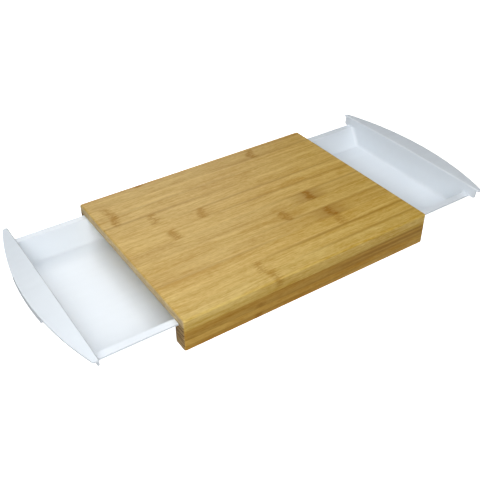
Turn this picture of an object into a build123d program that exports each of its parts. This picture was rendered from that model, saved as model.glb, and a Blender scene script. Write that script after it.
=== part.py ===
from build123d import *
import os
from math import asin, cos, degrees, radians, tan

# Cutting board with a sliding tray in each end.
#
# A bamboo slab stands on two bamboo rails, so the board is an upside-down U that is open at both
# ends. A groove in the top inner corner of each rail carries the rims of two moulded trays. Each
# tray slides out of its own end and is pulled by an arched lip that is level with the board's top.
#
# Frame: origin on the table under the middle of the board, X along the trays' travel, Y across the
# board, Z up. All sizes are in millimetres. The trays are drawn part way out.

# ---- Bamboo board
BOARD_LENGTH = 380.0
BOARD_WIDTH = 288.0
TOP_THICKNESS = 11.0
STAVE_WIDTH = 23.7          # one full stave of the glued-up slab
REAR_STAVE_WIDTH = 7.0      # what trimming to width left of the rear stave
LEAST_FRONT_SHARE = 0.3     # of a stave: a narrower rest stays on the front stave
CORNER_RADIUS = 3.0         # upright corners of slab and rails
TOP_EASE = 2.5              # rounded edge round the cutting face
FOOT_EASE = 2.0             # rounded edge round each rail's underside

# ---- Rails, glued from flat strips that lie on one another
RAIL_THICKNESS = 20.0
FOOT_STRIP_HEIGHT = 8.0     # each of the two lower strips
MIDDLE_STRIP_HEIGHT = 7.25  # each of the two middle strips
GROOVED_STRIP_HEIGHT = 5.5  # the top strip, which holds the groove
GROOVE_DEPTH = 8.6          # into the rail, from its inner face

# ---- Running clearances
RIM_REST_GAP = 0.3          # under the rim
RIM_TOP_GAP = 0.5           # between rim and slab
RIM_SIDE_GAP = 0.6          # between rim and groove
CLOSED_GAP = 0.5            # between a pushed-in tray and the board's end
CENTRE_GAP = 8.0            # between the two pushed-in trays

# ---- Moulded tray
WALL = 2.2
RIM_THICKNESS = 2.4
RIM_WIDTH = 10.0
RIM_CORNER_RADIUS = 4.0
TRAY_LIFT = 5.8             # the tray's underside above the table
SIDE_DRAFT = 33.5           # slope of the side and rear walls, degrees from upright
FRONT_DRAFT = 5.0           # slope of the front wall, degrees from upright
INSIDE_CORNER_RADIUS = 6.0  # upright corners inside the tray
FLOOR_ROUND = 5.0           # between walls and floor, inside
PULL_OUT = 101.0            # how far each tray is drawn out here

# ---- Tray front: a raised wall with wings, and the arched lip that is the handle
WING_INSET = 3.0            # wing edge, in from the board's side
WING_CORNER_RADIUS = 3.0
LIP_REACH = 31.5            # from the raised wall to the middle of the lip's edge
LIP_END_REACH = 7.9         # the same at the lip's two ends: the edge is an arch in plan
LIP_SIDE_OVERHANG = 1.0     # lip end, out from the board's side
LIP_DROOP = 5.0             # fall of the lip towards its edge, degrees
LIP_CORNER_RADIUS = 3.0
CREST_CHAMFER = 1.2         # where the raised wall turns over into the lip
GRIP_LENGTH = 96.0          # finger grip that hangs from the middle of the lip
GRIP_HEIGHT = 9.0
GRIP_CORNER_RADIUS = 2.5

# ---- Worked out from the sizes above
RAIL_HEIGHT = 2 * FOOT_STRIP_HEIGHT + 2 * MIDDLE_STRIP_HEIGHT + GROOVED_STRIP_HEIGHT
BOARD_HEIGHT = RAIL_HEIGHT + TOP_THICKNESS
RIM_TOP = RAIL_HEIGHT - RIM_TOP_GAP
RIM_BOTTOM = RIM_TOP - RIM_THICKNESS
GROOVE_FLOOR = RIM_BOTTOM - RIM_REST_GAP
RAIL_INNER_Y = BOARD_WIDTH / 2 - RAIL_THICKNESS
GROOVE_Y = RAIL_INNER_Y + GROOVE_DEPTH
RIM_Y = GROOVE_Y - RIM_SIDE_GAP
INSIDE_Y = RIM_Y - RIM_WIDTH
FLOOR_TOP = TRAY_LIFT + WALL
TRAY_LENGTH = (BOARD_LENGTH - CENTRE_GAP) / 2 + CLOSED_GAP
WING_Y = BOARD_WIDTH / 2 - WING_INSET
LIP_Y = BOARD_WIDTH / 2 + LIP_SIDE_OVERHANG
LIP_RISE = LIP_REACH - LIP_END_REACH
LIP_RADIUS = (LIP_Y**2 + LIP_RISE**2) / (2 * LIP_RISE)
LIP_CENTRE_X = LIP_REACH - LIP_RADIUS
LIP_FALL = tan(radians(LIP_DROOP))
LIP_SWEEP = degrees(asin(LIP_Y / (LIP_RADIUS - 2 * LIP_REACH)))
MARGIN = 2.0                # how far cutting solids reach past what they cut


def box_between(low, high):
    """Box from its low corner to its high corner."""
    size = [b - a for a, b in zip(low, high)]
    centre = [(a + b) / 2 for a, b in zip(low, high)]
    return Pos(*centre) * Box(*size)


# ------------------------------------------------------------------ board
def board_outline(low, high):
    """The board's plan with rounded upright corners, between two heights."""
    block = box_between((-BOARD_LENGTH / 2, -BOARD_WIDTH / 2, low), (BOARD_LENGTH / 2, BOARD_WIDTH / 2, high))
    return fillet(block.edges().filter_by(Axis.Z), CORNER_RADIUS)


def slab():
    """The cutting slab before it is divided into staves."""
    block = board_outline(RAIL_HEIGHT, BOARD_HEIGHT)
    return fillet(block.faces().sort_by(Axis.Z)[-1].edges(), TOP_EASE)


def stave_joints():
    """Y of every glue line in the slab, and of its two sides, from rear to front."""
    first = BOARD_WIDTH / 2 - REAR_STAVE_WIDTH
    rest = first + BOARD_WIDTH / 2
    full_staves = int(rest / STAVE_WIDTH - LEAST_FRONT_SHARE)
    inner = [first - i * STAVE_WIDTH for i in range(full_staves + 1)]
    return [BOARD_WIDTH / 2] + inner + [-BOARD_WIDTH / 2]


def staves():
    """The slab cut along its glue lines."""
    whole = slab()
    joints = stave_joints()
    parts = {}
    for i, (rear, front) in enumerate(zip(joints, joints[1:]), start=1):
        cell = box_between(
            (-BOARD_LENGTH / 2 - MARGIN, front, RAIL_HEIGHT - MARGIN),
            (BOARD_LENGTH / 2 + MARGIN, rear, BOARD_HEIGHT + MARGIN),
        )
        parts[f"top_stave_{i:02d}"] = whole & cell
    return parts


def front_rail():
    """The front rail with its groove, before it is divided into strips."""
    outer = -BOARD_WIDTH / 2
    section = Polyline(
        (outer, 0), (outer, RAIL_HEIGHT), (-GROOVE_Y, RAIL_HEIGHT), (-GROOVE_Y, GROOVE_FLOOR),
        (-RAIL_INNER_Y, GROOVE_FLOOR), (-RAIL_INNER_Y, 0), close=True,
    )
    bar = extrude(Plane.YZ * make_face(section), BOARD_LENGTH / 2, both=True)
    bar = bar & board_outline(0, RAIL_HEIGHT)
    return fillet(bar.faces().sort_by(Axis.Z)[0].edges(), FOOT_EASE)


def strip_joints():
    """Height of every glue line in a rail, and of its two faces, from the foot up."""
    heights = [FOOT_STRIP_HEIGHT] * 2 + [MIDDLE_STRIP_HEIGHT] * 2 + [GROOVED_STRIP_HEIGHT]
    levels = [0.0]
    for height in heights:
        levels.append(levels[-1] + height)
    return levels


def rail_strips():
    """Both rails cut along their glue lines."""
    rail = front_rail()
    levels = strip_joints()
    parts = {}
    for i, (low, high) in enumerate(zip(levels, levels[1:]), start=1):
        cell = box_between(
            (-BOARD_LENGTH / 2 - MARGIN, -BOARD_WIDTH / 2 - MARGIN, low),
            (BOARD_LENGTH / 2 + MARGIN, 0, high),
        )
        strip = rail & cell
        parts[f"front_rail_strip_{i}"] = strip
        parts[f"rear_rail_strip_{i}"] = mirror(strip, Plane.XZ)
    return parts


# ------------------------------------------------------------------ tray
# The tray is modelled with X measured outwards from its front wall's inner face, at the rim's top.
def front_x(height):
    """X of the front wall's inner face at a height."""
    return (height - RIM_TOP) * tan(radians(FRONT_DRAFT))


def across(section, half_width):
    """Section in the X and Z plane, drawn out to both sides."""
    return extrude(Plane.XZ * make_face(section), half_width, both=True)


def trough(low, high, wall):
    """Block with the slopes of the tray's inside, or of its outside when grown by the wall."""
    growth = wall / cos(radians(SIDE_DRAFT))
    run_low, run_high = [(RIM_TOP - z) * tan(radians(SIDE_DRAFT)) - growth for z in (low, high)]
    front_low, front_high = [front_x(z) + wall / cos(radians(FRONT_DRAFT)) for z in (low, high)]
    rear = RIM_WIDTH - TRAY_LENGTH
    lengthways = Polyline(
        (rear + run_low, low), (front_low, low), (front_high, high), (rear + run_high, high), close=True,
    )
    crossways = Polyline(
        (run_low - INSIDE_Y, low), (INSIDE_Y - run_low, low),
        (INSIDE_Y - run_high, high), (run_high - INSIDE_Y, high), close=True,
    )
    lengthways_bar = across(lengthways, BOARD_WIDTH)
    crossways_bar = extrude(Plane.YZ * make_face(crossways), BOARD_LENGTH, both=True)
    return lengthways_bar & crossways_bar


def rounded_trough(low, high, wall):
    """The trough with its corners and its bottom edge rounded, a wall's thickness larger outside."""
    block = trough(low, high, wall)
    corners = [e for e in block.edges() if e.bounding_box().size.Z > (high - low) / 2]
    block = fillet(corners, INSIDE_CORNER_RADIUS + wall)
    return fillet(block.faces().sort_by(Axis.Z)[0].edges(), FLOOR_ROUND + wall)


def tray_shell():
    """Floor, side walls, rear wall and rim."""
    outside = rounded_trough(TRAY_LIFT, RIM_BOTTOM + RIM_THICKNESS / 2, WALL)
    inside = rounded_trough(FLOOR_TOP, RIM_TOP + MARGIN, 0.0)
    rim = box_between((-TRAY_LENGTH, -RIM_Y, RIM_BOTTOM), (front_x(RIM_TOP) + WALL, RIM_Y, RIM_TOP))
    rim = fillet(rim.edges().filter_by(Axis.Z).sort_by(Axis.X)[:2], RIM_CORNER_RADIUS)
    return outside + rim - inside


def outwards_of_wall(offset, low, high, half_width):
    """Everything outwards of a plane along the front wall, between two heights."""
    far = 2 * LIP_REACH
    section = Polyline(
        (front_x(low) + offset, low), (far, low), (far, high), (front_x(high) + offset, high), close=True,
    )
    return across(section, half_width)


def about_lip_axis(section, half_angle):
    """Section in the X and Z plane, turned to both sides about the axis of the lip's arch."""
    axis = Axis((LIP_CENTRE_X, 0, 0), (0, 0, 1))
    face = make_face(Plane.XZ * section).rotate(axis, -half_angle)
    return revolve(face, axis, 2 * half_angle)


def under_lip_face(drop, reach, half_angle):
    """Everything under the lip's sloping face once that is lowered by drop, as far out as reach."""
    inner = -LIP_REACH - drop
    crown = BOARD_HEIGHT + (LIP_REACH - inner) * LIP_FALL - drop
    brim = BOARD_HEIGHT + (LIP_REACH - reach) * LIP_FALL - drop
    section = Polyline((inner, crown), (reach, brim), (reach, 0), (inner, 0), close=True)
    return about_lip_axis(section, half_angle)


def front_blank():
    """Everything the raised wall and the lip take up, solid down to the rim."""
    blank = outwards_of_wall(0, RIM_BOTTOM, BOARD_HEIGHT + LIP_REACH, LIP_Y)
    return blank & under_lip_face(0, LIP_REACH, LIP_SWEEP)


def front_hollow():
    """The open space under the lip, outwards of the raised wall and beside its wings."""
    high = BOARD_HEIGHT + LIP_REACH
    low = RIM_BOTTOM - MARGIN
    open_side = outwards_of_wall(WALL / cos(radians(FRONT_DRAFT)), low, high, LIP_Y + MARGIN)
    beside_wing = box_between((-LIP_REACH, WING_Y, low), (2 * LIP_REACH, LIP_Y + MARGIN, high))
    open_side = open_side + beside_wing + mirror(beside_wing, Plane.XZ)
    drop = WALL / cos(radians(LIP_DROOP))
    return open_side & under_lip_face(drop, LIP_REACH + MARGIN, LIP_SWEEP + MARGIN)


def finger_grip():
    """Short skirt under the middle of the lip's edge."""
    inner = LIP_REACH - WALL
    high = BOARD_HEIGHT - WALL / 2
    low = BOARD_HEIGHT - GRIP_HEIGHT
    section = Polyline((inner, high), (LIP_REACH, high), (LIP_REACH, low), (inner, low), close=True)
    grip = about_lip_axis(section, degrees(asin(GRIP_LENGTH / 2 / LIP_RADIUS)))
    low_corners = grip.faces().sort_by(Axis.Z)[0].edges().sort_by(SortBy.LENGTH)[:2]
    return fillet(low_corners, GRIP_CORNER_RADIUS)


def tray_front():
    """Raised wall with its wings, and the arched lip with its finger grip."""
    front = front_blank() - front_hollow()
    front = fillet(front.edges().filter_by(Axis.Z).sort_by(Axis.X)[-2:], LIP_CORNER_RADIUS)
    front = fillet(front.edges().filter_by(Axis.X).group_by(Axis.Z)[0], WING_CORNER_RADIUS)
    return chamfer(front.edges().sort_by(Axis.Z)[-1], CREST_CHAMFER) + finger_grip()


def tray():
    """The whole moulding, drawn out of the board's right end."""
    return Pos(BOARD_LENGTH / 2 + PULL_OUT, 0, 0) * (tray_shell() + tray_front())


# ------------------------------------------------------------------ assembly
def assembly():
    """Every part of the object under its own name."""
    right_tray = tray()
    left_tray = Rot(0, 0, 180) * right_tray
    return {**staves(), **rail_strips(), "left_tray": left_tray, "right_tray": right_tray}


os.makedirs("parts", exist_ok=True)
for name, node in assembly().items():
    export_step(node, f"parts/{name}.step")
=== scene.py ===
# %% [markdown]
# # A bamboo cutting board with two sliding trays
#
# The board is a thick bamboo slab on two side rails. A white moulded tray slides out of each end and is
# pulled by a wide arched lip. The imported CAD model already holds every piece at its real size, in metres,
# so this lesson is about finish: how glued bamboo and moulded plastic look, and why.

# %% Load the frame
from math import cos, radians, sin

import bmesh
import bpy
from mathutils import Matrix, Vector


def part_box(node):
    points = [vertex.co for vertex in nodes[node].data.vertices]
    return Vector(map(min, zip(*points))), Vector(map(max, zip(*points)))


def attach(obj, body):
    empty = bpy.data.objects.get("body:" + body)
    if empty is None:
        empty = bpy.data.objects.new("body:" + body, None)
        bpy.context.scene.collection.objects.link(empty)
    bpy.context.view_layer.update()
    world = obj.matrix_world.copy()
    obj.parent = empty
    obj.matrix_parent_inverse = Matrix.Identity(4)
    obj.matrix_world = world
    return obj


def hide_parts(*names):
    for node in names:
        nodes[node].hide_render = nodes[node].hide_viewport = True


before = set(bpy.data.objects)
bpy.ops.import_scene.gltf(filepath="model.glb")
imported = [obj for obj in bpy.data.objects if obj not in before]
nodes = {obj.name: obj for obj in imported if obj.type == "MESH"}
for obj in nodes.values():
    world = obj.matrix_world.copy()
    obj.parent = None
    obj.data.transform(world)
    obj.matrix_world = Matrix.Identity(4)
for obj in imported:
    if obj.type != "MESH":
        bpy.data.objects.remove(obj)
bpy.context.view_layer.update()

MM = 0.001


# %% [markdown]
# ## Small helpers for shader trees
#
# A shader tree is a list of nodes and wires. Writing each one out takes many lines, so a few helpers make
# them short: they add a node, do a sum, turn a value into a soft step between two limits, lay one colour
# over another, and make a noise that is drawn out along X. A socket that is given a number is set, and one
# that is given another socket is wired.

# %% Helpers for shader trees
def feed(tree, socket, value):
    """Wires a socket into this one, or sets it to a number or colour."""
    if isinstance(value, bpy.types.NodeSocket):
        tree.links.new(value, socket)
    else:
        socket.default_value = value


def add(tree, kind, settings=None, **inputs):
    """Adds a node, sets its settings, and feeds its inputs by name."""
    new = tree.nodes.new(kind)
    for key, value in (settings or {}).items():
        setattr(new, key, value)
    for name, value in inputs.items():
        feed(tree, new.inputs[name.replace("_", " ")], value)
    return new


def maths(tree, operation, *values):
    """One sum on up to three numbers or sockets."""
    new = tree.nodes.new("ShaderNodeMath")
    new.operation = operation
    for socket, value in zip(new.inputs, values):
        feed(tree, socket, value)
    return new.outputs[0]


def times(tree, first, second):
    """The product of two numbers or sockets."""
    return maths(tree, "MULTIPLY", first, second)


def span(tree, value, low, high):
    """Turns 0 to 1 into low to high."""
    return maths(tree, "MULTIPLY_ADD", value, high - low, low)


def soft_step(tree, value, start, end):
    """0 at start and beyond, 1 at end and beyond, smooth between the two."""
    new = add(tree, "ShaderNodeMapRange", {"interpolation_type": "SMOOTHSTEP"}, Value=value)
    new.inputs["From Min"].default_value = start
    new.inputs["From Max"].default_value = end
    return new.outputs["Result"]


def mix(tree, amount, low, high, blend="MIX"):
    """One colour over another."""
    new = tree.nodes.new("ShaderNodeMix")
    new.data_type = "RGBA"
    new.blend_type = blend
    feed(tree, new.inputs[0], amount)
    feed(tree, new.inputs[6], low)
    feed(tree, new.inputs[7], high)
    return new.outputs[2]


def streaks(tree, place, along, across, seed, detail=2.0):
    """Noise drawn out along X: `along` and `across` are how many patches go into a metre."""
    stretch = add(tree, "ShaderNodeMapping", Vector=place, Scale=(along, across, across))
    feed(tree, stretch.inputs["Location"], seed)
    noise = add(tree, "ShaderNodeTexNoise", Vector=stretch.outputs[0], Scale=1.0, Detail=detail)
    return noise.outputs["Fac"]


def linear(red, green, blue):
    """An sRGB colour, 0 to 255, as the linear colour that a shader takes."""
    def channel(value):
        share = value / 255
        return share / 12.92 if share <= 0.04045 else ((share + 0.055) / 1.055) ** 2.4
    return (channel(red), channel(green), channel(blue), 1.0)


print("helpers ready; a mid bamboo tone is", [round(c, 3) for c in linear(190, 160, 104)])


# %% [markdown]
# ## Bamboo
#
# A bamboo stem is split into flat staves, planed, and glued side to side. Each stave shows straight fibre
# bundles along its length and, every 30 cm or so, one knuckle: the ring where a leaf grew, a short brown
# band across the stave with ragged edges. No two neighbours come from the same stem, so each has its own
# tone, and a darker line shows along some joints.
#
# A photo texture would tile and would have to be cut up by stave. A node group does it from the place in
# the object alone, and one group serves every stave: its inputs hold what differs. The next cells each
# build one part of it, and the last one puts them together.

# %% Bamboo colours
PALE_FIBRE = linear(222, 189, 105)
DARK_FIBRE = linear(190, 145, 44)
KNUCKLE_BROWN = linear(165, 114, 8)
STREAK_BROWN = linear(168, 123, 30)
END_GRAIN = linear(244, 222, 168)
END_PORES = linear(170, 138, 88)
GLUE_BROWN = linear(60, 38, 18)
HALF_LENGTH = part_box("top_stave_07")[1].x
print("the board is", round(2 * HALF_LENGTH / MM), "mm long")


# %% [markdown]
# ### Fibres
#
# Inside a stave run thousands of fine fibres, and some bundles of them are darker than others. Noise that is
# drawn out along X looks like fibres, but a single size of it looks like brushed metal. So six are added
# up, from drifts of tone two centimetres wide down to single hairs, each with its own weight. Real fibres
# aren't quite straight either: before any noise is read, the place is pushed a few millimetres to one side
# or the other.

# %% Fibres
SWAY = 14 * MM
# Noises are given by how many patches of them go into a metre, along the stave and across it.
SWAY_PATCHES = (9.0, 22.0)
# Patches along, patches across, fineness, weight.
FIBRE_LAYERS = {
    "drifts": (3.0, 48.0, 1.0, 1.2),
    "bundles": (5.0, 190.0, 2.0, 1.0),
    "fibres": (10.0, 430.0, 3.0, 1.3),
    "hairs": (90.0, 1400.0, 2.0, 1.1),
    "mottle": (42.0, 110.0, 2.0, 0.7),
    "breaks": (160.0, 520.0, 2.0, 0.9),
}


def swayed(group, place, seed):
    """The place, pushed to the sides by a slow noise."""
    push = span(group, streaks(group, place, *SWAY_PATCHES, seed, 1.0), -SWAY / 2, SWAY / 2)
    moved = add(group, "ShaderNodeVectorMath", {"operation": "ADD"})
    feed(group, moved.inputs[0], place)
    feed(group, moved.inputs[1], add(group, "ShaderNodeCombineXYZ", Y=push, Z=push).outputs[0])
    return moved.outputs[0]


def fibre_layers(group, place, seed):
    """The six noises by name, and the tone they add up to: 0 dark, 1 pale."""
    layers = {}
    tone = 0.5 - sum(layer[-1] for layer in FIBRE_LAYERS.values()) / 2
    for name, (along, across, detail, weight) in FIBRE_LAYERS.items():
        layers[name] = streaks(group, place, along, across, seed, detail)
        tone = maths(group, "MULTIPLY_ADD", layers[name], weight, tone)
    return layers, tone


print("fibre layers:", ", ".join(FIBRE_LAYERS))


# %% [markdown]
# ### The knuckle
#
# Where a leaf grew, the fibres bend and cross, and the planed stave shows a brown scar there. A band at one
# X across the stave would be a straight painted stripe. So the distance from the knuckle is changed twice
# first: a slow noise makes the band wander, and the fibres tear its edges. Close in, the band is solid
# brown, further out it breaks up into flecks, and a strong knuckle darkens the wood for a few centimetres
# on each side.

# %% The knuckle
KNUCKLE_CORE, KNUCKLE_SOLID, KNUCKLE_REACH, HALO_REACH = 3.5 * MM, 2.5 * MM, 10 * MM, 42 * MM
KNUCKLE_WANDER, KNUCKLE_TEAR = 16 * MM, 8 * MM
WANDER_PATCHES, FLECK_PATCHES = (3.0, 75.0), (100.0, 480.0)
FLECKS_START, FLECKS_FULL = 0.38, 0.6
BETWEEN_FLECKS, IN_FLECKS = 0.2, 1.1
CORE_STRENGTH, HALO_STRENGTH, HALO_POWER = 0.9, 0.6, 4.0


def knuckle_marks(group, place, seed, x, fibres, given):
    """How much of the knuckle's brown lies here, and how much of its soft halo."""
    strength = given["Knuckle"]
    wander = streaks(group, place, *WANDER_PATCHES, seed, 1.0)
    wander = span(group, wander, -KNUCKLE_WANDER / 2, KNUCKLE_WANDER / 2)
    torn = span(group, fibres, -KNUCKLE_TEAR / 2, KNUCKLE_TEAR / 2)
    offset = maths(group, "SUBTRACT", x, given["Knuckle X"])
    offset = maths(group, "ABSOLUTE", maths(group, "ADD", offset, maths(group, "ADD", wander, torn)))
    flecks = soft_step(group, streaks(group, place, *FLECK_PATCHES, seed), FLECKS_START, FLECKS_FULL)
    core = times(group, soft_step(group, offset, KNUCKLE_CORE, 0.0), CORE_STRENGTH)
    body = soft_step(group, offset, KNUCKLE_REACH, KNUCKLE_SOLID)
    body = times(group, body, span(group, flecks, BETWEEN_FLECKS, IN_FLECKS))
    mark = times(group, maths(group, "MAXIMUM", core, body), strength)
    halo_strength = times(group, maths(group, "POWER", strength, HALO_POWER), HALO_STRENGTH)
    return mark, times(group, soft_step(group, offset, HALO_REACH, 0.0), halo_strength)


print("a knuckle is about", round(2 * KNUCKLE_REACH / MM), "mm wide")


# %% [markdown]
# ### Joints
#
# Wood from just under the stem's skin is darker, and some staves carry a little of it along an edge. So
# some joints show as a darker streak, which fades out along the board. The glue itself is a fine brown line
# that shows only on the sawn ends. Thin dark strips between the staves would give neither the soft edge nor
# the fading. So both come from the distance to the stave's two joints, and two neighbours that are given
# the same joint each carry half of its streak.

# %% Joints
STREAK_WIDTH, GLUE_WIDTH = 4.0 * MM, 1.1 * MM
STREAK_FULL, STREAK_GONE = 60 * MM, 190 * MM
BETWEEN_BUNDLES, IN_BUNDLES = 0.1, 1.7


def joint_lines(group, x, bundles, given):
    """How much of the joints' dark streak lies here, and how much of their glue."""
    lines, seams = [], []
    for edge in ("Low", "High"):
        gap = maths(group, "ABSOLUTE", maths(group, "SUBTRACT", given["Across"], given[edge + " joint"]))
        away = maths(group, "ABSOLUTE", maths(group, "SUBTRACT", x, given[edge + " streak X"]))
        line = times(group, soft_step(group, gap, STREAK_WIDTH, 0.0), given[edge + " streak"])
        lines.append(times(group, line, soft_step(group, away, STREAK_GONE, STREAK_FULL)))
        seams.append(soft_step(group, gap, GLUE_WIDTH, 0.0))
    streak = times(group, maths(group, "MAXIMUM", *lines), span(group, bundles, BETWEEN_BUNDLES, IN_BUNDLES))
    return streak, maths(group, "MAXIMUM", *seams)


print("joint streaks:", STREAK_WIDTH / MM, "mm wide on each side")


# %% [markdown]
# ### Sawn ends
#
# At both ends the saw has cut across the fibres. They are seen end on there, as dark pores, and the wood
# lies in thin level layers. The end faces could have a material of their own, but then each stave would
# need two. Instead the ends are found by their X, and in the last millimetre or so the sawn pattern takes
# over. On the rails' ends the layers and the glue lines show far more than on the slab's, so one input
# brings up both.

# %% Sawn ends
END_STARTS, END_FULL = HALF_LENGTH - 1.6 * MM, HALF_LENGTH - 0.2 * MM
PORE_PATCHES = (300.0, 1100.0)
PORES_START, PORES_FULL, PORE_STRENGTH = 0.5, 0.62, 0.4
LAYER_PATCHES, LAYER_DETAIL = (5.0, 40.0, 330.0), 2.0
FAINT_LAYERS, STRONG_LAYERS = 0.8, 2.8


def sawn_end(group, place, seed, x, glue, given):
    """How far this is on a sawn end, and the colour of the cut."""
    end = soft_step(group, maths(group, "ABSOLUTE", x), END_STARTS, END_FULL)
    pores = soft_step(group, streaks(group, place, *PORE_PATCHES, seed, 1.0), PORES_START, PORES_FULL)
    stretch = add(group, "ShaderNodeMapping", Vector=place, Location=seed, Scale=LAYER_PATCHES)
    layers = add(group, "ShaderNodeTexNoise", Vector=stretch.outputs[0], Scale=1.0, Detail=LAYER_DETAIL)
    layers = maths(group, "SUBTRACT", layers.outputs["Fac"], 0.5)
    layers = maths(group, "MULTIPLY_ADD", layers, span(group, given["Glue"], FAINT_LAYERS, STRONG_LAYERS), 0.5)
    cut = mix(group, layers, END_GRAIN, END_PORES)
    cut = mix(group, times(group, pores, PORE_STRENGTH), cut, END_PORES)
    cut = mix(group, times(group, glue, given["Glue"]), cut, GLUE_BROWN)
    return end, mix(group, 1.0, cut, given["End tint"], "MULTIPLY")


print("sawn pattern starts", round((HALF_LENGTH - END_STARTS) / MM, 1), "mm from each end")


# %% [markdown]
# ### The whole group
#
# The parts are laid over one another in the order in which they came about: fibres, the knuckle's halo and
# its mark, the joints, and last the saw cut. The group also gives a roughness, a little higher on knuckles
# and ends, and a height for the bump, which is left out on the ends, where no fibre runs along the surface.

# %% The bamboo group
BAMBOO_SMOOTH, BAMBOO_COARSE = 0.34, 0.50
KNUCKLE_COARSER, END_COARSER = 0.25, 0.20
FIBRE_SHARE, HAIR_SHARE = 0.6, 0.4
LOOKS = ("Across", "Low joint", "High joint", "Low streak", "High streak", "Low streak X", "High streak X",
         "Knuckle X", "Knuckle", "Glue")


def make_bamboo_group():
    """The node group that paints one stave or strip."""
    group = bpy.data.node_groups.new("bamboo stave", "ShaderNodeTree")
    face = group.interface
    for name in ("Tint", "End tint"):
        face.new_socket(name, in_out="INPUT", socket_type="NodeSocketColor").default_value = (1, 1, 1, 1)
    for name in LOOKS:
        face.new_socket(name, in_out="INPUT", socket_type="NodeSocketFloat")
    face.new_socket("Seed", in_out="INPUT", socket_type="NodeSocketVector")
    face.new_socket("Color", in_out="OUTPUT", socket_type="NodeSocketColor")
    face.new_socket("Roughness", in_out="OUTPUT", socket_type="NodeSocketFloat")
    face.new_socket("Height", in_out="OUTPUT", socket_type="NodeSocketFloat")
    given = group.nodes.new("NodeGroupInput").outputs
    seed = given["Seed"]
    straight = add(group, "ShaderNodeTexCoord").outputs["Object"]
    x = add(group, "ShaderNodeSeparateXYZ", Vector=straight).outputs["X"]
    place = swayed(group, straight, seed)

    layers, tone = fibre_layers(group, place, seed)
    mark, halo = knuckle_marks(group, place, seed, x, layers["fibres"], given)
    streak, glue = joint_lines(group, x, layers["bundles"], given)
    end, cut = sawn_end(group, place, seed, x, glue, given)

    colour = mix(group, tone, DARK_FIBRE, PALE_FIBRE)
    colour = mix(group, halo, colour, STREAK_BROWN)
    colour = mix(group, mark, colour, KNUCKLE_BROWN)
    colour = mix(group, streak, colour, STREAK_BROWN)
    colour = mix(group, 1.0, colour, given["Tint"], "MULTIPLY")
    colour = mix(group, end, colour, cut)
    rough = span(group, layers["fibres"], BAMBOO_SMOOTH, BAMBOO_COARSE)
    rough = maths(group, "MULTIPLY_ADD", mark, KNUCKLE_COARSER, rough)
    rough = maths(group, "MULTIPLY_ADD", end, END_COARSER, rough)
    relief = times(group, layers["hairs"], HAIR_SHARE)
    relief = maths(group, "MULTIPLY_ADD", layers["fibres"], FIBRE_SHARE, relief)

    result = group.nodes.new("NodeGroupOutput").inputs
    feed(group, result["Color"], colour)
    feed(group, result["Roughness"], rough)
    feed(group, result["Height"], times(group, relief, maths(group, "SUBTRACT", 1.0, end)))
    return group


bamboo_group = make_bamboo_group()
print("bamboo group:", len(bamboo_group.nodes), "nodes")


# %% [markdown]
# ## A material for each stave
#
# Each stave and strip gets its own material around that one group. The shader itself is plain: bamboo that
# has been sanded and oiled is a matt surface with a soft broad sheen, so there is no coat, only a middling
# roughness and a very shallow bump from the fibres. Staves lie side by side, so their joints are counted
# across the board; strips lie on one another, so theirs are counted upwards. The slab's face is finished
# finer than the rails, so it gets more sheen.

# %% One bamboo material
FIBRE_RELIEF = 0.04 * MM
SEED_STEP = (3.7, 11.3, 5.9)
WARMTH_IN_GREEN = 0.35
END_TONE_POWERS = (1.0, 1.35, 1.85)
# The axis that joints are counted along, the joint that a row of the tables below describes, the sheen, how
# far glue and layers show on the sawn ends, and how pale those are from the first piece to the last.
SLAB = {"across": "y", "own joint": "Low", "sheen": 0.42, "glue": 0.12, "end tones": [1.0] * 13}
RAIL = {"across": "z", "own joint": "High", "sheen": 0.25, "glue": 1.0, "end tones": [0.62] * 4 + [0.6]}


def bamboo(name, wood, seed, tone, warmth, knuckle, streaks_at, end_tone):
    """Bamboo material for one node. `streaks_at` holds the streaks of its low and of its high joint."""
    material = bpy.data.materials.new("bamboo " + name)
    material.use_nodes = True
    tree = material.node_tree
    shader = tree.nodes["Principled BSDF"]
    axes = add(tree, "ShaderNodeSeparateXYZ", Vector=add(tree, "ShaderNodeTexCoord").outputs["Object"])
    grain = tree.nodes.new("ShaderNodeGroup")
    grain.node_tree = bamboo_group
    grain.inputs["Seed"].default_value = [step * seed for step in SEED_STEP]
    grain.inputs["Tint"].default_value = (tone, tone * (1 - WARMTH_IN_GREEN * warmth), tone * (1 - warmth), 1)
    grain.inputs["End tint"].default_value = (*[end_tone ** power for power in END_TONE_POWERS], 1)
    grain.inputs["Glue"].default_value = wood["glue"]
    grain.inputs["Knuckle X"].default_value = knuckle[0] * MM
    grain.inputs["Knuckle"].default_value = knuckle[1]
    for edge, corner, (streak_x, strength) in zip(("Low", "High"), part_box(name), streaks_at):
        grain.inputs[edge + " joint"].default_value = getattr(corner, wood["across"])
        grain.inputs[edge + " streak X"].default_value = streak_x * MM
        grain.inputs[edge + " streak"].default_value = strength
    feed(tree, grain.inputs["Across"], axes.outputs[wood["across"].upper()])
    feed(tree, shader.inputs["Base Color"], grain.outputs["Color"])
    feed(tree, shader.inputs["Roughness"], grain.outputs["Roughness"])
    shader.inputs["Specular IOR Level"].default_value = wood["sheen"]
    bump = add(tree, "ShaderNodeBump", Height=grain.outputs["Height"], Strength=1.0, Distance=FIBRE_RELIEF)
    feed(tree, shader.inputs["Normal"], bump.outputs[0])
    return material


print("fibres stand", round(FIBRE_RELIEF / MM, 2), "mm proud")
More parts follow.
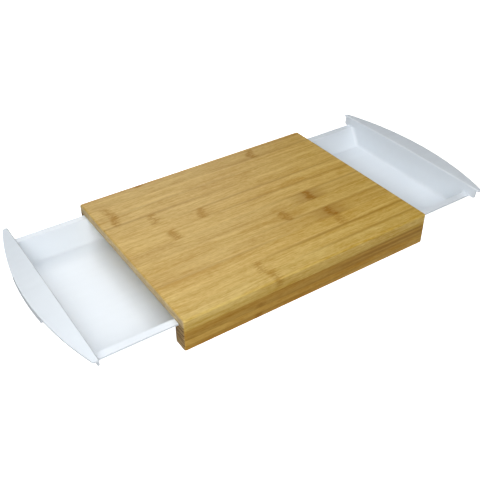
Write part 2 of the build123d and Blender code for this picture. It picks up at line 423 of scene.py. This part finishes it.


# %% [markdown]
# ### Every stave and strip
#
# A real board is one of a kind, and its maker lays the staves out by eye. So the staves' looks are not
# drawn at random but set down in a table, one row each: how light it is, how warm, where its knuckle lies
# and how strong it is, and where the streak at its next joint is darkest. In a few rows near the front, the
# tone and warmth also hold painted sheen.

# %% The staves and strips
# Tone, warmth, knuckle (X in mm, strength), streak at the next joint (X in mm, strength).
STAVES_FROM_REAR = [
    (0.93, 0.10, (-101, 0.8), (100, 0.4)),
    (0.95, 0.05, (85, 0.7), (150, 0.4)),
    (1.00, 0.00, (-167, 0.5), (-60, 0.3)),
    (1.00, 0.00, (-166, 0.65), (-150, 0.6)),
    (1.00, 0.00, (-122, 0.6), (60, 0.7)),
    (1.02, 0.00, (-61, 0.6), (90, 0.6)),
    (1.01, 0.00, (-114, 0.6), (150, 0.5)),
    (0.96, 0.02, (87, 1.0), (0, 0.1)),
    (1.00, -0.04, (31, 0.7), (120, 0.6)),
    (0.96, 0.02, (89, 1.0), (-120, 0.4)),
    # Stave 11's higher tone is partly painted sheen: the lighter front-left of the slab.
    (1.03, -0.05, (87, 0.5), (110, 1.0)),
    (1.02, -0.08, (-62, 0.55), (150, 0.8)),
    # Stave 13's low warmth is partly painted sheen: the greyer look of the slab's front edge.
    (1.01, -0.14, (-56, 0.55), (0, 0.0)),
]
STRIPS_FROM_FOOT = [
    (0.77, 0.36, (-83, 0.6), (0, 0.2)),
    (0.85, 0.32, (118, 0.0), (60, 0.5)),
    (0.68, 0.45, (-84, 0.4), (170, 0.8)),
    (0.72, 0.45, (60, 0.0), (170, 0.7)),
    # The top strip's low warmth and higher tone are partly painted sheen: the greyer look along the top of the
    # front face.
    (0.97, -0.10, (-128, 0.2), (0, 0.2)),
]
NO_STREAK = (0, 0.0)


def clothe_row(names, looks, wood, first_seed):
    """Gives each CAD node of a row its own bamboo. A joint's streak shows on both its sides."""
    last_streak = NO_STREAK
    for count, (name, (tone, warmth, knuckle, streak)) in enumerate(zip(names, looks)):
        streaks_at = (streak, last_streak) if wood["own joint"] == "Low" else (last_streak, streak)
        end_tone = wood["end tones"][count]
        material = bamboo(name, wood, first_seed + count, tone, warmth, knuckle, streaks_at, end_tone)
        slots = nodes[name].data.materials
        slots.clear()
        slots.append(material)
        last_streak = streak


clothe_row([f"top_stave_{number:02d}" for number in range(1, 14)], STAVES_FROM_REAR, SLAB, 1)
for rail, first_seed in (("front", 21), ("rear", 31)):
    clothe_row([f"{rail}_rail_strip_{number}" for number in range(1, 6)], STRIPS_FROM_FOOT, RAIL, first_seed)
print("bamboo materials:", len(STAVES_FROM_REAR) + 2 * len(STRIPS_FROM_FOOT))


# %% [markdown]
# ## Moulded plastic
#
# The trays are injection moulded in white plastic. The mould was lightly blasted, so the skin has a fine
# satin grain. As the long walls cooled they sank a little here and there, so a reflection along them comes
# and goes in soft bands. Thick white plastic also lets a little light in and gives it back softened, which
# is why its shadows are pale and cool. Real scattering is slow to render and is lost in an export, so a
# cool, slightly uneven white with a low, even roughness does the job here. One bump gives the long waves,
# and a second one on top of it gives the satin grain.

# %% The plastic material
PLASTIC_WHITE = linear(240, 247, 253)
PLASTIC_SHADE = linear(235, 243, 251)
PLASTIC_SMOOTH, PLASTIC_COARSE = 0.17, 0.23
PLASTIC_IOR = 1.49
FLOW_SCALE, FLOW_DETAIL = 9.0, 2.0
SATIN_SCALE, SATIN_DETAIL, SATIN_RELIEF = 1400.0, 1.0, 0.02 * MM
WAVE_PATCHES, WAVE_RELIEF = (5.0, 85.0), 0.5 * MM
NO_SEED = (0.0, 0.0, 0.0)


def make_plastic():
    """Satin white moulded plastic."""
    material = bpy.data.materials.new("white moulded plastic")
    material.use_nodes = True
    tree = material.node_tree
    shader = tree.nodes["Principled BSDF"]
    place = add(tree, "ShaderNodeTexCoord").outputs["Object"]
    flow = add(tree, "ShaderNodeTexNoise", Vector=place, Scale=FLOW_SCALE, Detail=FLOW_DETAIL).outputs["Fac"]
    satin = add(tree, "ShaderNodeTexNoise", Vector=place, Scale=SATIN_SCALE, Detail=SATIN_DETAIL).outputs["Fac"]
    waves = streaks(tree, place, *WAVE_PATCHES, NO_SEED, 0.0)
    feed(tree, shader.inputs["Base Color"], mix(tree, flow, PLASTIC_SHADE, PLASTIC_WHITE))
    feed(tree, shader.inputs["Roughness"], span(tree, satin, PLASTIC_SMOOTH, PLASTIC_COARSE))
    shader.inputs["IOR"].default_value = PLASTIC_IOR
    sunk = add(tree, "ShaderNodeBump", Height=waves, Strength=1.0, Distance=WAVE_RELIEF).outputs[0]
    bump = add(tree, "ShaderNodeBump", Height=satin, Strength=1.0, Distance=SATIN_RELIEF, Normal=sunk)
    feed(tree, shader.inputs["Normal"], bump.outputs[0])
    return material


plastic = make_plastic()
print("plastic:", len(plastic.node_tree.nodes), "nodes")


# %% [markdown]
# ## Dressing the trays
#
# The CAD trays have the right shape, but their lips and rims end in plain corners. A mould can't make
# those: every free edge comes out with a small round, and that round catches the light as a thin bright
# line. Both trays are the same moulding, so a Geometry Nodes tree welds the CAD triangles into a skin,
# turns it for its end of the board, shades it smooth up to its real edges, and gives it its material.

# %% The tray skin tree
def make_skin_tree():
    """Geometry Nodes: weld loose triangles, turn the piece about Z, shade it smooth."""
    tree = bpy.data.node_groups.new("moulded skin", "GeometryNodeTree")
    face = tree.interface
    face.new_socket("Geometry", in_out="INPUT", socket_type="NodeSocketGeometry")
    face.new_socket("Weld distance", in_out="INPUT", socket_type="NodeSocketFloat")
    face.new_socket("Turn", in_out="INPUT", socket_type="NodeSocketFloat")
    face.new_socket("Smooth up to", in_out="INPUT", socket_type="NodeSocketFloat")
    face.new_socket("Material", in_out="INPUT", socket_type="NodeSocketMaterial")
    face.new_socket("Geometry", in_out="OUTPUT", socket_type="NodeSocketGeometry")
    given = tree.nodes.new("NodeGroupInput").outputs
    weld = add(tree, "GeometryNodeMergeByDistance", Geometry=given["Geometry"], Distance=given["Weld distance"])
    spin = add(tree, "ShaderNodeCombineXYZ", Z=given["Turn"])
    turned = add(tree, "GeometryNodeTransform", Geometry=weld.outputs[0], Rotation=spin.outputs[0])
    angle = add(tree, "GeometryNodeInputMeshEdgeAngle").outputs["Unsigned Angle"]
    soft = add(tree, "FunctionNodeCompare", {"operation": "LESS_THAN"})
    feed(tree, soft.inputs[0], angle)
    feed(tree, soft.inputs[1], given["Smooth up to"])
    faces = add(tree, "GeometryNodeSetShadeSmooth", {"domain": "FACE"}, Geometry=turned.outputs[0],
                Shade_Smooth=True)
    edges = add(tree, "GeometryNodeSetShadeSmooth", {"domain": "EDGE"}, Geometry=faces.outputs[0],
                Shade_Smooth=soft.outputs[0])
    whole = add(tree, "GeometryNodeRealizeInstances", Geometry=edges.outputs[0])
    painted = add(tree, "GeometryNodeSetMaterial", Geometry=whole.outputs[0], Material=given["Material"])
    feed(tree, tree.nodes.new("NodeGroupOutput").inputs[0], painted.outputs[0])
    return tree


skin_tree = make_skin_tree()
print("tray skin tree:", [item.name for item in skin_tree.interface.items_tree if item.in_out == "INPUT"])


# %% [markdown]
# ### Both trays
#
# The CAD mesh comes in thin triangles, and a bevel that runs into their points comes out ragged. So flat
# faces are made whole first. Then the skin tree runs, and a Bevel modifier rounds every edge that is
# sharper than the small bends of the round walls. The result is written out as a plain mesh, rides on the
# tray's node, and stands in its place.

# %% Make both trays
WELD = 0.004 * MM
FLAT_ANGLE, SHARP_ANGLE = radians(0.2), radians(38)
FREE_EDGE_ROUND, ROUND_STEPS = 0.7 * MM, 3


def bare_mesh(node):
    """A copy of a CAD node's mesh with flat faces made whole again."""
    shape = bmesh.new()
    shape.from_mesh(nodes[node].data)
    bmesh.ops.remove_doubles(shape, verts=shape.verts, dist=WELD)
    bmesh.ops.dissolve_limit(shape, angle_limit=FLAT_ANGLE, verts=shape.verts, edges=shape.edges)
    mesh = bpy.data.meshes.new(node + "_skin")
    shape.to_mesh(mesh)
    shape.free()
    return mesh


def set_input(modifier, name, value):
    """Sets a modifier input by its socket's identifier."""
    sockets = modifier.node_group.interface.items_tree
    found = [s for s in sockets if s.name == name and s.in_out == "INPUT"][0]
    modifier[found.identifier] = value


def dressed_tray(name, node, turn):
    """One finished tray, made from the CAD node and turned to its own end."""
    piece = bpy.data.objects.new(name, bare_mesh(node))
    bpy.context.scene.collection.objects.link(piece)
    skin = piece.modifiers.new("skin", "NODES")
    skin.node_group = skin_tree
    set_input(skin, "Weld distance", WELD)
    set_input(skin, "Turn", turn)
    set_input(skin, "Smooth up to", SHARP_ANGLE)
    set_input(skin, "Material", plastic)
    bevel = piece.modifiers.new("free edges", "BEVEL")
    bevel.width = FREE_EDGE_ROUND
    bevel.segments = ROUND_STEPS
    bevel.limit_method = "ANGLE"
    bevel.angle_limit = SHARP_ANGLE
    bevel.harden_normals = True
    finished = piece.evaluated_get(bpy.context.evaluated_depsgraph_get())
    mesh = bpy.data.meshes.new_from_object(finished)
    piece.modifiers.clear()
    piece.data = mesh
    return piece


for side, turn in (("right", 0.0), ("left", radians(180))):
    tray = dressed_tray(side + "_tray_moulding", "right_tray", turn)
    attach(tray, side + "_tray")
    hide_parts(side + "_tray")
    print(tray.name, len(tray.data.polygons), "faces")


# %% [markdown]
# ## Studio
#
# A product on a white sweep is lit twice: the sweep is lit until it is pure white, and the product has its
# own softer lights. Here the two are kept apart in the same way. The floor and the backdrop glow plain
# white for the camera only: no shadow shows on them, and no light that leaves the board meets them.

# %% Floor and backdrop
STAGE_HALF_SIZE = 8.0
STAGE_GLOW = 1.0
STAGE_PAINT = (0.8, 0.8, 0.8, 1)
WHITE = (1, 1, 1, 1)


def stage_piece(name, corners, faces):
    """A white piece of the set, which the camera sees and the board's light passes."""
    mesh = bpy.data.meshes.new(name)
    mesh.from_pydata(corners, [], faces)
    piece = bpy.data.objects.new(name, mesh)
    bpy.context.scene.collection.objects.link(piece)
    material = bpy.data.materials.new(name + " white")
    material.use_nodes = True
    shader = material.node_tree.nodes["Principled BSDF"]
    shader.inputs["Base Color"].default_value = STAGE_PAINT
    shader.inputs["Roughness"].default_value = 0.9
    shader.inputs["Specular IOR Level"].default_value = 0.0
    shader.inputs["Emission Color"].default_value = WHITE
    shader.inputs["Emission Strength"].default_value = STAGE_GLOW
    mesh.materials.append(material)
    piece.visible_diffuse = piece.visible_glossy = piece.visible_shadow = False
    return piece


ring = [(-1, -1), (1, -1), (1, 1), (-1, 1)]
low_ring = [(x * STAGE_HALF_SIZE, y * STAGE_HALF_SIZE, 0.0) for x, y in ring]
high_ring = [(x, y, STAGE_HALF_SIZE) for x, y, z in low_ring]
walls = [(0, 4, 5, 1), (1, 5, 6, 2), (2, 6, 7, 3), (3, 7, 4, 0)]
stage_piece("floor", low_ring, [(0, 1, 2, 3)])
stage_piece("backdrop", low_ring + high_ring, walls + [(4, 7, 6, 5)])
print("floor:", 2 * STAGE_HALF_SIZE, "m square")


# %% [markdown]
# ### Glow from below
#
# On a white floor a good part of the light comes from underneath: it lifts the undersides of the lips and
# the foot of the rails. The floor here gives no light, so the world does it. Below the horizon it glows,
# above it is only a faint sky, and a narrow soft step between the two keeps the edge out of reflections.

# %% Glow from below and sky
GLOW_FROM_BELOW, SKY_GLOW = 0.4, 0.06
HORIZON_BLUR = 0.05

world = bpy.data.worlds.new("studio air")
bpy.context.scene.world = world
world.use_nodes = True
tree = world.node_tree
height = add(tree, "ShaderNodeSeparateXYZ", Vector=add(tree, "ShaderNodeTexCoord").outputs["Generated"])
below = soft_step(tree, height.outputs["Z"], HORIZON_BLUR, -HORIZON_BLUR)
sky = tree.nodes["Background"]
sky.inputs["Color"].default_value = WHITE
feed(tree, sky.inputs["Strength"], span(tree, below, SKY_GLOW, GLOW_FROM_BELOW))
print("glow from below:", GLOW_FROM_BELOW)


# %% [markdown]
# ### Light panels
#
# Three large panels stand around the board, and each lights the faces that are turned to it: the front one
# the front rail and the far walls inside the trays, the left one the board's end and the left lip, the rear
# one the near walls inside the trays. The camera also sees the rear one as the soft sheen on the slab. A
# small one high up lifts the slab's face. All of them face the middle of the board.

# %% Light panels
# Place in metres, side of the square in metres, power in watts.
PANELS = {
    "left panel": ((-0.80, -0.46, 1.00), 0.8, 5.9),
    "front panel": ((-0.45, -1.14, 0.92), 1.0, 11.8),
    "rear panel": ((0.36, 1.20, 1.10), 1.0, 8.2),
    "top panel": ((-0.15, -0.1, 1.7), 0.35, 2.2),
}

for name, (place, size, power) in PANELS.items():
    light = bpy.data.lights.new(name, "AREA")
    light.shape = "SQUARE"
    light.size = size
    light.energy = power
    holder = bpy.data.objects.new(name, light)
    holder.location = place
    holder.rotation_euler = (-Vector(place)).to_track_quat("-Z", "Y").to_euler()
    bpy.context.scene.collection.objects.link(holder)
print("lights:", ", ".join(PANELS))


# %% [markdown]
# ## Camera
#
# The camera was fitted to the board's corners and the trays' edges, so the view is that of the photo. Its
# place is in millimetres in the object's frame, and its three angles are a turn about the vertical, a tilt
# down, and a small roll. The focal length was found in pixels of the photo, so it is turned into that of a
# lens with a 36 mm sensor.

# %% Camera
CAMERA_PLACE = Vector((-457.1, -666.4, 590.9)) * MM
FOCAL_PIXELS = 708.92
FRAME_PIXELS = 480
SENSOR_WIDTH = 36.0
YAW, PITCH, ROLL = radians(33.3921), radians(36.4347), radians(-0.5008)

forward = Vector((sin(YAW) * cos(PITCH), cos(YAW) * cos(PITCH), -sin(PITCH)))
level_right = Vector((cos(YAW), -sin(YAW), 0))
level_up = level_right.cross(forward)
right = cos(ROLL) * level_right + sin(ROLL) * level_up
up = cos(ROLL) * level_up - sin(ROLL) * level_right
lens = bpy.data.cameras.new("camera")
lens.sensor_width = SENSOR_WIDTH
lens.lens = FOCAL_PIXELS / FRAME_PIXELS * SENSOR_WIDTH
camera = bpy.data.objects.new("camera", lens)
camera.matrix_world = Matrix.Translation(CAMERA_PLACE) @ Matrix((right, up, -forward)).transposed().to_4x4()
bpy.context.scene.collection.objects.link(camera)
bpy.context.scene.camera = camera
bpy.context.scene.view_settings.view_transform = "Standard"
print("lens:", round(lens.lens, 2), "mm")
